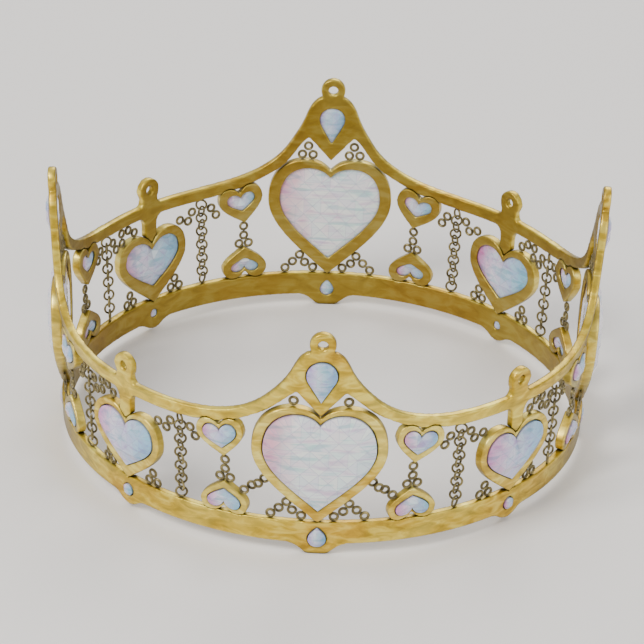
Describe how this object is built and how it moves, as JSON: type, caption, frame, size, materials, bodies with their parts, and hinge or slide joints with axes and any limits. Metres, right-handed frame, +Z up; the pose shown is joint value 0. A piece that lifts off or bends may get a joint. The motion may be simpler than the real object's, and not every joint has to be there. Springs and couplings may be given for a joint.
{
  "type": "crown",
  "caption": "Full-round tiara crown with a lobed base band, a peaked top rail with loops, heart and teardrop crystals in bezels between them, and fine hanging chain.",
  "frame": {"origin": "on the crown's vertical axis, in the plane of the four flat feet it rests on", "axes": "+Z up; the front panel faces -Y; +X is to the right as seen from the front"},
  "size_m": [0.1626, 0.1618, 0.0798],
  "materials": {
    "gold": "polished yellow gold plate",
    "antique_gold": "antiqued satin",
    "crystal": "faceted crystal with a pink and blue iridescent coating"
  },
  "bodies": {
    "crown": {"back_large_heart_bezel": "gold", "back_large_heart_gem": "crystal", "back_left_heart_bezel": "gold", "back_left_heart_gem": "crystal", "back_left_loop": "gold", "back_peak_loop": "gold", "back_right_heart_bezel": "gold", "back_right_heart_gem": "crystal", "back_right_loop": "gold", "back_teardrop_bezel": "gold", "back_teardrop_gem": "crystal", "band_corner_gems": "crystal", "band_peak_gems": "crystal", "base_band": "gold", "chain_end_links": "antique_gold", "chain_side_rings": "antique_gold", "corner_rings": "antique_gold", "front_brace_rings": "antique_gold", "front_large_heart_bezel": "gold", "front_large_heart_gem": "crystal", "front_left_heart_bezel": "gold", "front_left_heart_gem": "crystal", "front_left_loop": "gold", "front_peak_loop": "gold", "front_right_heart_bezel": "gold", "front_right_heart_gem": "crystal", "front_right_loop": "gold", "front_teardrop_bezel": "gold", "front_teardrop_gem": "crystal", "large_heart_foot_rings": "antique_gold", "left_large_heart_bezel": "gold", "left_large_heart_gem": "crystal", "left_peak_loop": "gold", "left_teardrop_bezel": "gold", "left_teardrop_gem": "crystal", "lower_small_heart_bezels": "gold", "lower_small_heart_gems": "crystal", "medium_heart_foot_rings": "antique_gold", "peak_rings": "antique_gold", "right_large_heart_bezel": "gold", "right_large_heart_gem": "crystal", "right_peak_loop": "gold", "right_teardrop_bezel": "gold", "right_teardrop_gem": "crystal", "small_heart_link_rings": "antique_gold", "top_rail": "gold", "upper_small_heart_bezels": "gold", "upper_small_heart_gems": "crystal"},
    "front_chain_left": {"front_chain_left": "antique_gold"},
    "front_chain_right": {"front_chain_right": "antique_gold"},
    "right_chain_front": {"right_chain_front": "antique_gold"},
    "right_chain_back": {"right_chain_back": "antique_gold"},
    "back_chain_right": {"back_chain_right": "antique_gold"},
    "back_chain_left": {"back_chain_left": "antique_gold"},
    "left_chain_back": {"left_chain_back": "antique_gold"},
    "left_chain_front": {"left_chain_front": "antique_gold"}
  },
  "joints": [
    {"name": "front_chain_left_twist", "type": "hinge", "parent": "crown", "child": "front_chain_left", "pos_m": [-0.03861, -0.06554, 0.02396], "axis": [-0.031, -0.0526, 0.9981], "range_deg": [-18, 18]},
    {"name": "front_chain_right_twist", "type": "hinge", "parent": "crown", "child": "front_chain_right", "pos_m": [0.03861, -0.06554, 0.02396], "axis": [0.031, -0.0526, 0.9981], "range_deg": [-18, 18]},
    {"name": "right_chain_front_twist", "type": "hinge", "parent": "crown", "child": "right_chain_front", "pos_m": [0.06554, -0.03861, 0.02396], "axis": [0.0526, -0.031, 0.9981], "range_deg": [-18, 18]},
    {"name": "right_chain_back_twist", "type": "hinge", "parent": "crown", "child": "right_chain_back", "pos_m": [0.06554, 0.03861, 0.02396], "axis": [0.0526, 0.031, 0.9981], "range_deg": [-18, 18]},
    {"name": "back_chain_right_twist", "type": "hinge", "parent": "crown", "child": "back_chain_right", "pos_m": [0.03861, 0.06554, 0.02396], "axis": [0.031, 0.0526, 0.9981], "range_deg": [-18, 18]},
    {"name": "back_chain_left_twist", "type": "hinge", "parent": "crown", "child": "back_chain_left", "pos_m": [-0.03861, 0.06554, 0.02396], "axis": [-0.031, 0.0526, 0.9981], "range_deg": [-18, 18]},
    {"name": "left_chain_back_twist", "type": "hinge", "parent": "crown", "child": "left_chain_back", "pos_m": [-0.06554, 0.03861, 0.02396], "axis": [-0.0526, 0.031, 0.9981], "range_deg": [-18, 18]},
    {"name": "left_chain_front_twist", "type": "hinge", "parent": "crown", "child": "left_chain_front", "pos_m": [-0.06554, -0.03861, 0.02396], "axis": [-0.0526, -0.031, 0.9981], "range_deg": [-18, 18]}
  ]
}
